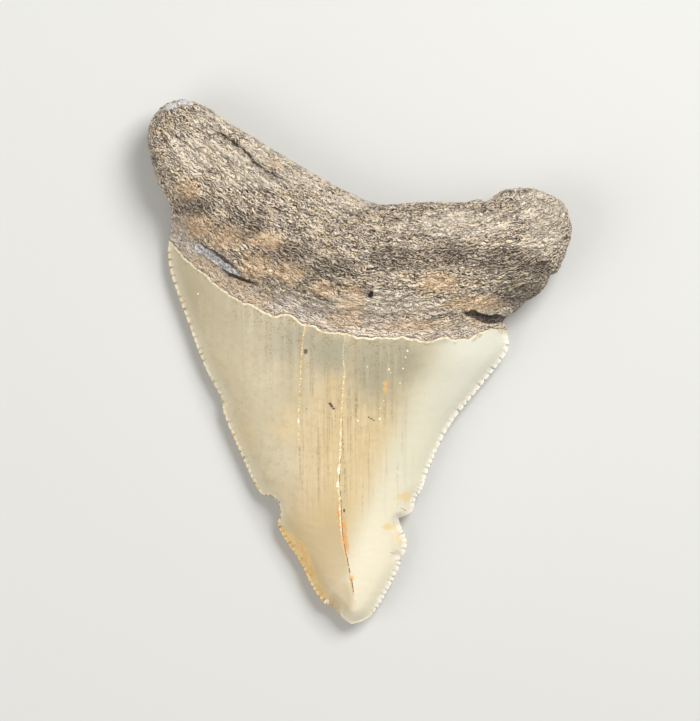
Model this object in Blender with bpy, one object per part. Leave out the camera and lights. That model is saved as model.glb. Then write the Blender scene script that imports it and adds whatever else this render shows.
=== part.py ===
"""A fossil shark tooth, lying on its flat outer face with its domed inner face up.

The tooth is one solid. Its blade is a lens in section, with saw teeth along two cutting edges, and
its root is a thick two-lobed bar across the top. Seen from above the tip points to -Y. The origin is
the middle of the footprint, on the surface that the tooth lies on. Sizes are in millimetres until
the mesh is made.
"""

import bpy
import bmesh
import numpy as np
from mathutils import Vector, noise
from mathutils.geometry import delaunay_2d_cdt

MM = 0.001

# Blade: heights above the resting plane, and how the two faces swell between the cutting edges.
EDGE_HEIGHT = 1.9
TIP_LIFT = 0.5
TIP_LIFT_LENGTH = 11.0
EDGE_THICKNESS = 0.3
EDGE_BEVEL = 1.6
BLADE_WIDTH = 40.0
BLADE_SWELL = 8.3
BLADE_TAPER = 0.8
BLADE_FULLNESS = 0.85
OUTER_SWELL = 2.4
OUTER_TAPER = 0.5
OUTER_FULLNESS = 0.6

# Root: a bar with a rounded rim, thickest at a boss above the middle of the blade.
RIM_HEIGHT = 4.7
LOBE_SWELL = 4.2
LOBE_ROUNDING = 5.2
BOSS_SWELL = 4.6
BOSS_CENTRE = (-0.5, 10.5)
BOSS_SPREAD = (12.5, 6.5)
UNDER_SWELL = 5.3
UNDER_ROUNDING = 4.6
ARCH_RISE = 2.2
ARCH_CENTRE = (1.0, 13.0)
ARCH_SPREAD = (10.0, 6.0)

# Neck: where the enamel ends and the root begins.
NECK_BLEND = (-0.6, 6.5)
ENAMEL_STEP = 0.25
STEP_WIDTH = 0.35
TROUGH_DEPTH = 0.3
TROUGH_CENTRE = 1.4
TROUGH_SPREAD = 1.2

# Saw teeth along the cutting edges.
SAW_PITCH = 0.78
SAW_DEPTH = 0.24
SAW_SAMPLES = 3
SAW_ROUNDNESS = 0.7

# Root surface: ledges and pits drawn out along the bar, each as height, length, width and offset.
BAR_LINE = ((-31.0, 32.0), (-20.0, 24.2), (-10.0, 17.2), (0.0, 12.8), (10.0, 11.8), (20.0, 13.6),
            (30.0, 17.0))
LUMPS = ((0.34, 6.5, 2.2, 7.3), (0.26, 2.8, 1.15, 2.9))

# Mesh: spacing along the rim, rings just inside it as depth and step, and lattices between them.
ROOT_STEP = 0.9
BROKEN_STEP = 0.5
RINGS = ((0.3, 0.95), (1.0, 1.1), (1.9, 1.2))
INNER_ROOT_STEP = 0.8
INNER_BLADE_STEP = 1.6
OUTER_STEP = 2.1
NECK_LINE_STEP = 0.9
CLEAR_SHARE = 0.75

TOOTH_COLOUR = (0.47, 0.40, 0.29, 1.0)
TOOTH_ROUGHNESS = 0.6

# The outline in plan, counter-clockwise from the tip, as smooth runs between real corners.
# A "saw" run is a cutting edge, a "broken" run is a chip or the neck, and "root" is the bar.
OUTLINE = (
    ("saw", ((-0.9, -31.5), (1.1, -30.7), (2.5, -29.0), (4.3, -25.7), (4.9, -24.3), (4.9, -23.3))),
    ("broken", ((4.9, -23.3), (5.4, -23.1))),
    ("saw", ((5.4, -23.1), (5.7, -21.7), (5.3, -20.4), (4.9, -19.5))),
    ("broken", ((4.9, -19.5), (4.7, -18.8))),
    ("broken", ((4.7, -18.8), (5.9, -18.3), (6.5, -17.7))),
    ("saw", ((6.5, -17.7), (6.8, -16.4), (7.6, -15.1), (8.5, -12.5), (10.9, -7.6), (14.6, -2.9),
             (17.3, 0.5), (18.0, 2.1), (17.8, 3.3))),
    ("broken", ((17.8, 3.3), (17.7, 4.2), (17.2, 4.8), (17.7, 5.5))),
    ("root", ((17.7, 5.5), (20.4, 7.4), (22.7, 9.7), (24.6, 12.4), (25.5, 15.6), (24.5, 19.1),
              (20.6, 21.0), (17.6, 20.8), (15.5, 19.5), (12.3, 19.2), (5.4, 19.1), (2.5, 19.0),
              (-0.4, 20.0), (-6.7, 23.4), (-14.3, 28.0), (-18.4, 30.7), (-21.4, 31.5),
              (-24.0, 30.4), (-25.5, 27.2), (-24.5, 22.2), (-23.0, 19.0), (-22.7, 16.5),
              (-23.1, 13.6))),
    ("saw", ((-23.1, 13.6), (-22.7, 10.6), (-20.8, 5.2), (-18.6, -0.6), (-16.6, -4.5),
             (-16.2, -6.6), (-13.0, -13.9), (-11.9, -15.8))),
    ("broken", ((-11.9, -15.8), (-10.6, -16.2), (-9.8, -16.9))),
    ("broken", ((-9.8, -16.9), (-9.6, -18.0), (-9.9, -19.1))),
    ("saw", ((-9.9, -19.1), (-9.3, -20.8), (-7.1, -24.1), (-4.4, -28.9), (-2.9, -30.2),
             (-1.9, -31.1), (-0.9, -31.5))),
)

# The blade's two sides as they grew, before the chips, from the tip up past the root's flanks.
GROWN_LEFT = ((-0.9, -31.5), (-3.2, -30.2), (-4.9, -28.1), (-7.2, -24.2), (-9.8, -20.0),
              (-12.1, -15.8), (-14.3, -11.0), (-16.4, -6.0), (-18.6, -0.8), (-20.8, 5.2),
              (-22.6, 10.4), (-23.4, 15.0), (-24.6, 21.0), (-26.5, 32.0))
GROWN_RIGHT = ((-0.9, -31.5), (1.4, -30.4), (3.3, -27.7), (4.9, -24.6), (5.8, -21.6), (6.6, -18.4),
               (7.5, -15.4), (8.6, -12.2), (10.9, -7.6), (14.5, -3.0), (17.3, 0.4), (18.9, 4.0),
               (21.0, 8.0), (24.5, 12.5), (27.0, 19.0), (29.0, 32.0))

# The foot of the enamel on each face, from the left cutting edge to the right one.
INNER_NECK = ((-23.6, 15.2), (-22.2, 14.0), (-18.6, 10.6), (-14.7, 7.6), (-10.1, 5.4), (-7.7, 5.3),
              (-6.2, 4.5), (-1.7, 3.4), (2.1, 2.9), (5.2, 3.1), (8.7, 2.5), (12.9, 2.8),
              (14.9, 3.8), (16.4, 4.0), (18.4, 3.6))
OUTER_NECK = ((-23.8, 15.4), (-20.6, 14.6), (-13.5, 11.9), (-6.5, 9.7), (-1.6, 7.2), (2.6, 8.0),
              (8.8, 8.2), (14.6, 6.2), (18.6, 3.6))

# Cuts in the inner face: a route, then the depth and the half width. The depth fades to the ends.
CUTS = {
    "flake_scar": (((-20.5, 14.1), (-17.3, 12.4), (-14.5, 10.2), (-12.0, 9.1)), 0.60, 0.70),
    "root_crack": (((-19.2, 29.0), (-15.2, 26.2), (-12.1, 23.5), (-9.2, 21.8), (-5.8, 20.2)), 0.40, 0.40),
    "neck_cleft": (((12.4, 5.9), (15.4, 5.1), (18.6, 5.2)), 0.60, 0.55),
    "foramen": (((1.2, 7.4), (1.5, 8.7)), 0.50, 0.40),
    "blade_crack": (((-1.7, 3.4), (-2.0, -2.6), (-2.5, -13.5), (-2.2, -20.2), (-0.8, -27.7)), 0.22, 0.35),
}
CUT_STEP = 0.9


def smooth_line(points, step):
    """Points about step apart on a Catmull-Rom line through the given ones, both ends included."""
    knots = np.array([points[0], *points, points[-1]], float)
    share = np.linspace(0.0, 1.0, 24, endpoint=False)[:, None]
    fine = []
    for a, b, c, d in zip(knots, knots[1:], knots[2:], knots[3:]):
        square, cube = share**2, share**3
        fine.append(0.5 * (2 * b + (c - a) * share + (2 * a - 5 * b + 4 * c - d) * square
                           + (3 * b - a - 3 * c + d) * cube))
    line = np.vstack([*fine, knots[-1:]])
    along = np.concatenate([[0.0], np.cumsum(np.linalg.norm(np.diff(line, axis=0), axis=1))])
    count = max(1, round(along[-1] / step))
    wanted = np.linspace(0.0, along[-1], count + 1)
    return np.column_stack([np.interp(wanted, along, line[:, axis]) for axis in (0, 1)])


def inward(line):
    """Unit normals to the left of a line, which is inside the counter-clockwise outline."""
    along = np.gradient(line, axis=0)
    along /= np.linalg.norm(along, axis=1)[:, None]
    return np.column_stack([-along[:, 1], along[:, 0]])


def saw_line(points):
    """A cutting edge: rounded saw teeth whose crests lie on the smooth line."""
    length = np.linalg.norm(np.diff(smooth_line(points, 0.2), axis=0), axis=1).sum()
    teeth = max(1, round(length / SAW_PITCH))
    line = smooth_line(points, length / (teeth * SAW_SAMPLES))
    phase = np.arange(len(line)) / SAW_SAMPLES
    notch = 1.0 - np.abs(np.sin(np.pi * phase)) ** SAW_ROUNDNESS
    notch[[0, -1]] = 0.0
    return line + inward(line) * (SAW_DEPTH * notch)[:, None]


def outline_points():
    """The closed outline, one point for each rim vertex."""
    makers = {
        "saw": saw_line,
        "broken": lambda points: smooth_line(points, BROKEN_STEP),
        "root": lambda points: smooth_line(points, ROOT_STEP),
    }
    return np.vstack([makers[kind](points)[:-1] for kind, points in OUTLINE])


def nearest_on(places, line):
    """For each place, its distance to a polyline, 1 or -1 if it lies left or right, and how far along."""
    distance = np.full(len(places), np.inf)
    side = np.ones(len(places))
    along = np.zeros(len(places))
    passed = 0.0
    for start, run in zip(line[:-1], np.diff(line, axis=0)):
        length = np.hypot(*run)
        share = np.clip(((places - start) @ run) / length**2, 0.0, 1.0)
        gap = places - start - share[:, None] * run
        size = np.hypot(gap[:, 0], gap[:, 1])
        nearer = size < distance
        distance[nearer] = size[nearer]
        side[nearer] = np.sign(run[0] * gap[nearer, 1] - run[1] * gap[nearer, 0])
        along[nearer] = passed + share[nearer] * length
        passed += length
    return distance, side, along


def smoothstep(value, low, high):
    share = np.clip((value - low) / (high - low), 0.0, 1.0)
    return share * share * (3.0 - 2.0 * share)


def hill(places, centre, spread):
    """A smooth hill of height 1."""
    offset = (places - np.array(centre)) / np.array(spread)
    return np.exp(-(offset**2).sum(axis=1))


def rounded(depth, radius):
    """The height of a quarter circle, from 0 at the rim to 1 a radius inside it."""
    share = 1.0 - np.clip(depth / radius, 0.0, 1.0)
    return np.sqrt(1.0 - share**2)


def blade_lens(places):
    """The blade's width at each place, and a share from 0 at its sides to 1 halfway between them."""
    left = smooth_line(GROWN_LEFT, 0.5)
    right = smooth_line(GROWN_RIGHT, 0.5)
    start = np.interp(places[:, 1], left[:, 1], left[:, 0])
    width = np.interp(places[:, 1], right[:, 1], right[:, 0]) - start
    share = np.clip((places[:, 0] - start) / np.maximum(width, 1e-6), 0.0, 1.0)
    return width, 4.0 * share * (1.0 - share)


def cut_depth(places):
    """How deep the scars and cracks go at each place of the inner face."""
    deep = np.zeros(len(places))
    for route, depth, half_width in CUTS.values():
        line = smooth_line(route, 0.4)
        gap, _, along = nearest_on(places, line)
        length = np.hypot(*np.diff(line, axis=0).T).sum()
        taper = np.sin(np.pi * np.clip(along / length, 0.04, 0.96)) ** 0.4
        deep = np.maximum(deep, depth * taper * np.clip(1.0 - (gap / half_width) ** 2, 0.0, 1.0))
    return deep


def lumps(places):
    """Relief of the root: noise stretched along the bar, so that it runs round the bend."""
    across, side, along = nearest_on(places, smooth_line(BAR_LINE, 1.0))
    relief = np.zeros(len(places))
    for height, length, width, offset in LUMPS:
        spots = np.column_stack([along / length, side * across / width, np.full(len(along), offset)])
        relief += height * np.array([noise.noise(Vector(spot)) for spot in spots])
    return relief


def neck_share(places, neck):
    """How far above the foot of the enamel each place is, and how much of it is root."""
    gap, side, _ = nearest_on(places, smooth_line(neck, 0.6))
    above = gap * side
    return above, smoothstep(above, *NECK_BLEND)


def heights(places):
    """The heights of the inner face (up) and the outer face (down) at each place."""
    width, lens = blade_lens(places)
    whole_rim = np.vstack([smooth_line(points, 0.5)[:-1] for _, points in OUTLINE])
    depth, *_ = nearest_on(places, np.vstack([whole_rim, whole_rim[:1]]))
    root_rim = [points for kind, points in OUTLINE if kind == "root"][0]
    from_rim, *_ = nearest_on(places, smooth_line(root_rim, 0.8))
    above_inner, inner_root = neck_share(places, INNER_NECK)
    above_outer, outer_root = neck_share(places, OUTER_NECK)
    half_edge = EDGE_THICKNESS / 2
    from_saw = np.min([nearest_on(places, smooth_line(points, 0.5))[0]
                       for kind, points in OUTLINE if kind == "saw"], axis=0)
    keen = 1.0 - (1.0 - np.clip(from_saw / EDGE_BEVEL, 0.0, 1.0)) ** 2

    tip_lift = TIP_LIFT * (1.0 - smoothstep(places[:, 1], -31.6, -31.6 + TIP_LIFT_LENGTH))
    edge = EDGE_HEIGHT + tip_lift
    dome = BLADE_SWELL * (width / BLADE_WIDTH) ** BLADE_TAPER * lens**BLADE_FULLNESS
    belly = OUTER_SWELL * (width / BLADE_WIDTH) ** OUTER_TAPER * lens**OUTER_FULLNESS
    blade_up = edge + half_edge + dome * keen
    blade_down = edge - half_edge - belly * keen

    boss = BOSS_SWELL * hill(places, BOSS_CENTRE, BOSS_SPREAD)
    arch = ARCH_RISE * hill(places, ARCH_CENTRE, ARCH_SPREAD)
    root_up = RIM_HEIGHT + half_edge + (LOBE_SWELL + boss) * rounded(from_rim, LOBE_ROUNDING)
    root_down = RIM_HEIGHT - half_edge - (UNDER_SWELL - arch) * rounded(from_rim, UNDER_ROUNDING)

    relief = lumps(places) * rounded(from_rim, 2.0)
    trough = TROUGH_DEPTH * np.exp(-(((above_inner - TROUGH_CENTRE) / TROUGH_SPREAD) ** 2))
    step_in = ENAMEL_STEP * smoothstep(above_inner, 0.0, STEP_WIDTH)
    step_out = ENAMEL_STEP * smoothstep(above_outer, 0.0, STEP_WIDTH)
    inside = smoothstep(depth, 0.0, 1.2)

    up = blade_up + (root_up + relief - blade_up) * inner_root
    up -= (trough + step_in + cut_depth(places)) * inside
    down = blade_down + (root_down - relief - blade_down) * outer_root
    down += step_out * inside
    return up, np.maximum(down, 0.0)


def lattice(low, high, step):
    """Rows of points a step apart, every other row shifted by half a step."""
    rows = np.arange(low[1], high[1], step * np.sqrt(3) / 2)
    return np.array([
        (x + (index % 2) * step / 2, y)
        for index, y in enumerate(rows)
        for x in np.arange(low[0], high[0], step)
    ])


def ring(closed, depth, step):
    """Points a step apart on a line that runs a depth inside the closed outline."""
    along = np.concatenate([[0.0], np.cumsum(np.hypot(*np.diff(closed, axis=0).T))])
    line = closed + inward(closed) * depth
    wanted = np.arange(0.0, along[-1], step)
    return np.column_stack([np.interp(wanted, along, line[:, axis]) for axis in (0, 1)])


def inner_points(outline, guides, lattices):
    """Vertices inside the outline: guide lines first, then rings along the rim, then lattices."""
    closed = np.vstack([outline, outline[:1]])
    found = np.empty((0, 2))

    def add(places, clear, gap):
        nonlocal found
        depth, side, _ = nearest_on(places, closed)
        places = places[(depth >= clear) & (side > 0)]
        if len(found):
            offsets = places[:, None, :] - found[None, :, :]
            places = places[np.hypot(offsets[..., 0], offsets[..., 1]).min(axis=1) >= gap]
        found = np.vstack([found, places])

    for line in guides:
        add(line, 0.25, 0.3)
    for depth, step in RINGS:
        add(ring(closed, depth, step), depth * CLEAR_SHARE, step * 0.6)
    for places, step in lattices:
        add(places, RINGS[-1][0] + 0.4, step * 0.65)
    return found


def inner_face_points(outline):
    """The domed face: fine on the root, where the relief is, and coarser on the blade."""
    step_line = smooth_line(INNER_NECK, NECK_LINE_STEP)
    guides = [step_line, step_line + inward(step_line) * STEP_WIDTH]
    for route, _, half_width in CUTS.values():
        line = smooth_line(route, CUT_STEP)
        guides += [line + inward(line) * offset for offset in (0.0, -half_width, half_width)]
    low, high = outline.min(axis=0), outline.max(axis=0)
    fine = lattice(low, high, INNER_ROOT_STEP)
    above, _ = neck_share(fine, INNER_NECK)
    coarse = lattice(low, high, INNER_BLADE_STEP)
    lattices = ((fine[above > 0.5], INNER_ROOT_STEP), (coarse, INNER_BLADE_STEP))
    return inner_points(outline, guides, lattices)


def outer_face_points(outline):
    """The flat face: coarse all over, with a line of vertices at the foot of the enamel."""
    step_line = smooth_line(OUTER_NECK, NECK_LINE_STEP * 1.6)
    guides = [step_line, step_line + inward(step_line) * STEP_WIDTH]
    places = lattice(outline.min(axis=0), outline.max(axis=0), OUTER_STEP)
    return inner_points(outline, guides, [(places, OUTER_STEP)])


def add_face(bm, outline, inside, pick):
    """Triangulate one face, lift it to its heights, and return its rim vertices in order."""
    count = len(outline)
    places = [Vector(p) for p in np.vstack([outline, inside])]
    rim_edges = [(i, (i + 1) % count) for i in range(count)]
    keep_inside = 1
    points, _, faces, *_ = delaunay_2d_cdt(places, rim_edges, [], keep_inside, 1e-6)
    levels = heights(np.array(points))[pick]
    verts = [bm.verts.new((p.x, p.y, level)) for p, level in zip(points, levels)]
    for face in faces:
        bm.faces.new([verts[i] for i in face])
    return verts[:count]


def tooth_mesh():
    """Two triangulated faces joined by a narrow wall round the rim."""
    outline = outline_points()
    bm = bmesh.new()
    over = add_face(bm, outline, inner_face_points(outline), 0)
    under = add_face(bm, outline, outer_face_points(outline), 1)
    for i in range(len(outline)):
        after = (i + 1) % len(outline)
        bm.faces.new([under[i], under[after], over[after], over[i]])
    bmesh.ops.triangulate(bm, faces=bm.faces)
    bmesh.ops.recalc_face_normals(bm, faces=bm.faces)
    bmesh.ops.scale(bm, vec=(MM, MM, MM), verts=bm.verts)
    mesh = bpy.data.meshes.new("tooth")
    bm.to_mesh(mesh)
    bm.free()
    mesh.shade_smooth()
    mesh.set_sharp_from_angle(angle=np.radians(50))
    return mesh


def tooth_material():
    """Grey-brown mineralised root and enamel, as one plain finish."""
    material = bpy.data.materials.new("fossil_tooth")
    material.use_nodes = True
    shader = material.node_tree.nodes["Principled BSDF"]
    shader.inputs["Base Color"].default_value = TOOTH_COLOUR
    shader.inputs["Roughness"].default_value = TOOTH_ROUGHNESS
    shader.inputs["Metallic"].default_value = 0.0
    return material


def main():
    for obj in list(bpy.data.objects):
        bpy.data.objects.remove(obj)
    mesh = tooth_mesh()
    mesh.materials.append(tooth_material())
    tooth = bpy.data.objects.new("tooth", mesh)
    bpy.context.scene.collection.objects.link(tooth)


main()
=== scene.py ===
"""A fossil megalodon tooth, lying on its flat outer face and seen from straight above.

Lengths are in millimetres until the mesh is made. The tip points to -Y and the root to +Y.
"""

import bpy
import numpy as np
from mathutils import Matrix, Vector, noise
from mathutils.geometry import delaunay_2d_cdt
from mathutils.kdtree import KDTree


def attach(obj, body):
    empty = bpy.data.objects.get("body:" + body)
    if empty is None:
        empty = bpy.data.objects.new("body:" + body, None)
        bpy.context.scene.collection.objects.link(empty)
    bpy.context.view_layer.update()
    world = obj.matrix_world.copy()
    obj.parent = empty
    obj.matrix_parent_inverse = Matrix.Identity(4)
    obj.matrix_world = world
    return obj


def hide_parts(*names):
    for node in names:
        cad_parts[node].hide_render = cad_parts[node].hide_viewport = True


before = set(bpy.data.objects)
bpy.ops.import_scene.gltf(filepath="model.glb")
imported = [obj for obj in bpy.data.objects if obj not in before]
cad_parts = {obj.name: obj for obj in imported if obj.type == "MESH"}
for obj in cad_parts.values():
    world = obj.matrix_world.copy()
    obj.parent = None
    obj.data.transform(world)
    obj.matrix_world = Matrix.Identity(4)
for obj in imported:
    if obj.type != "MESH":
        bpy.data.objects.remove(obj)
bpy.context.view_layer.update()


# Outline. A tooth that was shed and fossilised whole: two saw-edged sides of enamel meet at the
# tip, and a thick two-lobed root of dentine, worn rough, closes the top. Each side has lost a chip
# near the tip, and the edge is broken away at the right shoulder.

MM = 0.001
RIM_STEP = 0.11
ROOT_WEAR = 0.2

OUTLINE = (
    ("saw", ((-0.9, -31.5), (0.2, -31.2), (1.1, -30.7), (1.7, -30.1), (2.5, -29.0), (3.4, -27.4),
             (4.3, -25.7), (4.9, -24.3), (4.9, -23.3))),
    ("broken", ((4.9, -23.3), (5.4, -23.1))),
    ("saw", ((5.4, -23.1), (5.7, -21.7), (5.3, -20.4), (4.9, -19.5))),
    ("broken", ((4.9, -19.5), (4.7, -18.8))),
    ("broken", ((4.7, -18.8), (5.9, -18.3), (6.5, -17.7))),
    ("saw", ((6.5, -17.7), (6.8, -16.4), (7.6, -15.1), (8.5, -12.5), (10.9, -7.6), (14.6, -2.9),
             (17.3, 0.5), (18.0, 2.1), (17.8, 3.3))),
    ("broken", ((17.8, 3.3), (17.7, 4.2), (17.2, 4.8), (17.7, 5.5))),
    ("root", ((17.7, 5.5), (18.9, 6.1), (19.9, 7.2), (20.8, 7.6), (21.8, 8.4), (22.5, 9.3),
              (22.9, 10.2), (23.8, 10.8), (24.3, 11.8), (24.9, 13.3), (25.5, 15.6), (25.2, 17.5),
              (24.5, 19.1), (23.2, 20.0), (21.8, 20.6), (20.0, 21.0), (17.6, 20.8), (16.3, 20.1),
              (15.4, 19.4), (14.0, 19.6), (12.3, 19.2), (9.0, 19.3), (5.4, 19.1), (2.5, 19.0),
              (-0.4, 20.0), (-6.7, 23.4), (-14.3, 28.0), (-18.4, 30.7), (-21.4, 31.5),
              (-24.0, 30.4), (-25.5, 27.2), (-24.5, 22.2), (-23.0, 19.0), (-22.7, 16.5),
              (-23.1, 13.6))),
    ("saw", ((-23.1, 13.6), (-22.7, 10.6), (-20.8, 5.2), (-18.6, -0.6), (-16.6, -4.5),
             (-16.2, -6.6), (-13.0, -13.9), (-11.9, -15.8))),
    ("broken", ((-11.9, -15.8), (-11.6, -16.1), (-10.6, -16.2), (-9.8, -16.9))),
    ("broken", ((-9.8, -16.9), (-9.6, -18.0), (-9.9, -19.1))),
    ("saw", ((-9.9, -19.1), (-9.3, -20.8), (-7.1, -24.1), (-5.7, -27.0), (-4.4, -28.8),
             (-4.0, -29.2), (-3.4, -29.3), (-1.95, -30.8), (-1.2, -31.35), (-0.9, -31.5))),
)


def smooth_line(points, step):
    """Points about step apart on a Catmull-Rom line through the given ones, both ends included."""
    knots = np.array([points[0], *points, points[-1]], float)
    share = np.linspace(0.0, 1.0, 24, endpoint=False)[:, None]
    fine = []
    for a, b, c, d in zip(knots, knots[1:], knots[2:], knots[3:]):
        square, cube = share**2, share**3
        fine.append(0.5 * (2 * b + (c - a) * share + (2 * a - 5 * b + 4 * c - d) * square
                           + (3 * b - a - 3 * c + d) * cube))
    line = np.vstack([*fine, knots[-1:]])
    passed = np.concatenate([[0.0], np.cumsum(np.hypot(*np.diff(line, axis=0).T))])
    wanted = np.linspace(0.0, passed[-1], max(1, round(passed[-1] / step)) + 1)
    return np.column_stack([np.interp(wanted, passed, line[:, axis]) for axis in (0, 1)])


def inward(line):
    """Unit normals to the left of a line, which is inside the counter-clockwise outline."""
    along = np.gradient(line, axis=0)
    along /= np.hypot(*along.T)[:, None]
    return np.column_stack([-along[:, 1], along[:, 0]])


def ruler(line):
    """Measures places against a line: distance, 1 or -1 for left or right of it, and how far along."""
    tree = KDTree(len(line))
    for index, (x, y) in enumerate(line):
        tree.insert((x, y, 0.0), index)
    tree.balance()
    left = inward(line)
    passed = np.concatenate([[0.0], np.cumsum(np.hypot(*np.diff(line, axis=0).T))])
    half_step = passed[-1] / (len(line) - 1) / 2

    def measure(places):
        nearest = np.array([tree.find((x, y, 0.0))[1] for x, y in places])
        offset = places - line[nearest]
        sideways = (offset * left[nearest]).sum(axis=1)
        forward = offset[:, 0] * left[nearest, 1] - offset[:, 1] * left[nearest, 0]
        kept = np.clip(forward, -half_step, half_step)
        distance = np.hypot(sideways, forward - kept)
        return distance, np.where(sideways < 0, -1.0, 1.0), passed[nearest] + kept

    return measure


def smoothstep(value, low, high):
    share = np.clip((value - low) / (high - low), 0.0, 1.0)
    return share * share * (3.0 - 2.0 * share)


def noise_at(places, length, width, offset):
    """Smooth noise from -1 to 1, stretched to a length and a width."""
    spots = np.column_stack([places[:, 0] / length, places[:, 1] / width])
    return np.array([noise.noise(Vector((x, y, offset))) for x, y in spots])


runs = []
for kind, points in OUTLINE:
    line = smooth_line(points, RIM_STEP)
    if kind == "root":
        worn = np.abs(noise_at(line, 0.7, 0.7, 2.5)) + 0.5 * np.abs(noise_at(line, 0.3, 0.3, 7.5))
        ends = np.sin(np.pi * np.linspace(0.0, 1.0, len(line))) ** 0.2
        line = line + inward(line) * (ROOT_WEAR * worn * ends)[:, None]
    runs.append((kind, line[:-1]))
rim = np.vstack([line for _, line in runs])
rim_kind = np.concatenate([[kind] * len(line) for kind, line in runs])
closed_rim = np.vstack([rim, rim[:1]])
rim_ruler = ruler(closed_rim)

# Blade. Dense enamel over dentine, a lens in section: domed on this inner face and nearly flat
# on the outer one. It thins to the two cutting edges, which are only 0.3 mm thick.

EDGE_HEIGHT = 1.9
TIP_Y = -31.6
TIP_LIFT = 0.5
TIP_LIFT_LENGTH = 11.0
EDGE_THICKNESS = 0.3
EDGE_BEVEL = 1.6
BLADE_WIDTH = 40.0
BLADE_SWELL = 8.3
BLADE_TAPER = 0.8
BLADE_FULLNESS = 0.85
OUTER_SWELL = 2.4
OUTER_TAPER = 0.5
OUTER_FULLNESS = 0.6
CHIP_BEVEL = 0.55
CHIP_BEVEL_WIDTH = 0.9
WAVE_HEIGHT = 0.12
WAVE_SIZE = (3.5, 9.0)

# The blade's two sides as they grew, before the chips, from the tip up past the root's flanks.
GROWN_LEFT = ((-0.9, -31.5), (-3.2, -30.2), (-4.9, -28.1), (-7.2, -24.2), (-9.8, -20.0),
              (-12.1, -15.8), (-14.3, -11.0), (-16.4, -6.0), (-18.6, -0.8), (-20.8, 5.2),
              (-22.6, 10.4), (-23.4, 15.0), (-24.6, 21.0), (-26.5, 32.0))
GROWN_RIGHT = ((-0.9, -31.5), (1.4, -30.4), (3.3, -27.7), (4.9, -24.6), (5.8, -21.6), (6.6, -18.4),
               (7.5, -15.4), (8.6, -12.2), (10.9, -7.6), (14.5, -3.0), (17.3, 0.4), (18.9, 4.0),
               (21.0, 8.0), (24.5, 12.5), (27.0, 19.0), (29.0, 32.0))


def gap_to(places, kept):
    """The distance from each place to the nearest of the kept points."""
    tree = KDTree(len(kept))
    for index, (x, y) in enumerate(kept):
        tree.insert((x, y, 0.0), index)
    tree.balance()
    return np.array([tree.find((x, y, 0.0))[2] for x, y in places])


def blade_heights(places):
    """The blade's two faces, with the broken edges of the chips worn round."""
    left = smooth_line(GROWN_LEFT, 0.2)
    right = smooth_line(GROWN_RIGHT, 0.2)
    start = np.interp(places[:, 1], left[:, 1], left[:, 0])
    width = np.interp(places[:, 1], right[:, 1], right[:, 0]) - start
    share = np.clip((places[:, 0] - start) / np.maximum(width, 1e-6), 0.0, 1.0)
    lens = 4.0 * share * (1.0 - share)
    tip_lift = TIP_LIFT * (1.0 - smoothstep(places[:, 1], TIP_Y, TIP_Y + TIP_LIFT_LENGTH))
    middle = EDGE_HEIGHT + tip_lift
    dome = BLADE_SWELL * (width / BLADE_WIDTH) ** BLADE_TAPER * lens**BLADE_FULLNESS
    belly = OUTER_SWELL * (width / BLADE_WIDTH) ** OUTER_TAPER * lens**OUTER_FULLNESS
    from_saw = gap_to(places, np.vstack([line for kind, line in runs if kind == "saw"]))
    keen = 1.0 - (1.0 - np.clip(from_saw / EDGE_BEVEL, 0.0, 1.0)) ** 2
    from_chip = gap_to(places, np.vstack([line for kind, line in runs if kind == "broken"]))
    worn = 1.0 - CHIP_BEVEL * (1.0 - np.clip(from_chip / CHIP_BEVEL_WIDTH, 0.0, 1.0)) ** 2
    waves = WAVE_HEIGHT * noise_at(places, *WAVE_SIZE, 4.1) * lens
    over = middle + EDGE_THICKNESS / 2 + (dome + waves) * keen * worn
    under = middle - EDGE_THICKNESS / 2 - belly * keen * worn
    return over, under


# Root. Porous dentine in a thick bar with a rounded rim, thickest at a boss over the middle of
# the blade. Its relief of ledges and pits is drawn out along the bar, round the bend.

RIM_HEIGHT = 4.7
LOBE_SWELL = 4.2
LOBE_ROUNDING = 5.2
BOSS_SWELL = 4.6
BOSS_CENTRE = (-0.5, 10.5)
BOSS_SPREAD = (12.5, 6.5)
UNDER_SWELL = 5.3
UNDER_ROUNDING = 4.6
ARCH_RISE = 2.2
ARCH_CENTRE = (1.0, 13.0)
ARCH_SPREAD = (10.0, 6.0)
BAR_LINE = ((-31.0, 32.0), (-20.0, 24.2), (-10.0, 17.2), (0.0, 12.8), (10.0, 11.8), (20.0, 13.6),
            (30.0, 17.0))
LUMP_MARGIN = 2.0

# Each kind of lump is a height, a length along the bar, a width across it and a noise seed.
LUMPS = ((0.34, 6.5, 2.2, 7.3), (0.26, 2.8, 1.15, 2.9))

root_rim = ruler(smooth_line([points for kind, points in OUTLINE if kind == "root"][0], 0.15))
bar = ruler(smooth_line(BAR_LINE, 0.15))


def hill(places, centre, spread):
    """A smooth hill of height 1."""
    return np.exp(-(((places - np.array(centre)) / np.array(spread)) ** 2).sum(axis=1))


def rounded(depth, radius):
    """The height of a quarter circle, from 0 at the rim to 1 a radius inside it."""
    return np.sqrt(1.0 - (1.0 - np.clip(depth / radius, 0.0, 1.0)) ** 2)


def bar_places(places):
    """Places measured along and across the bar."""
    across, side, along = bar(places)
    return np.column_stack([along, side * across])


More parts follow.
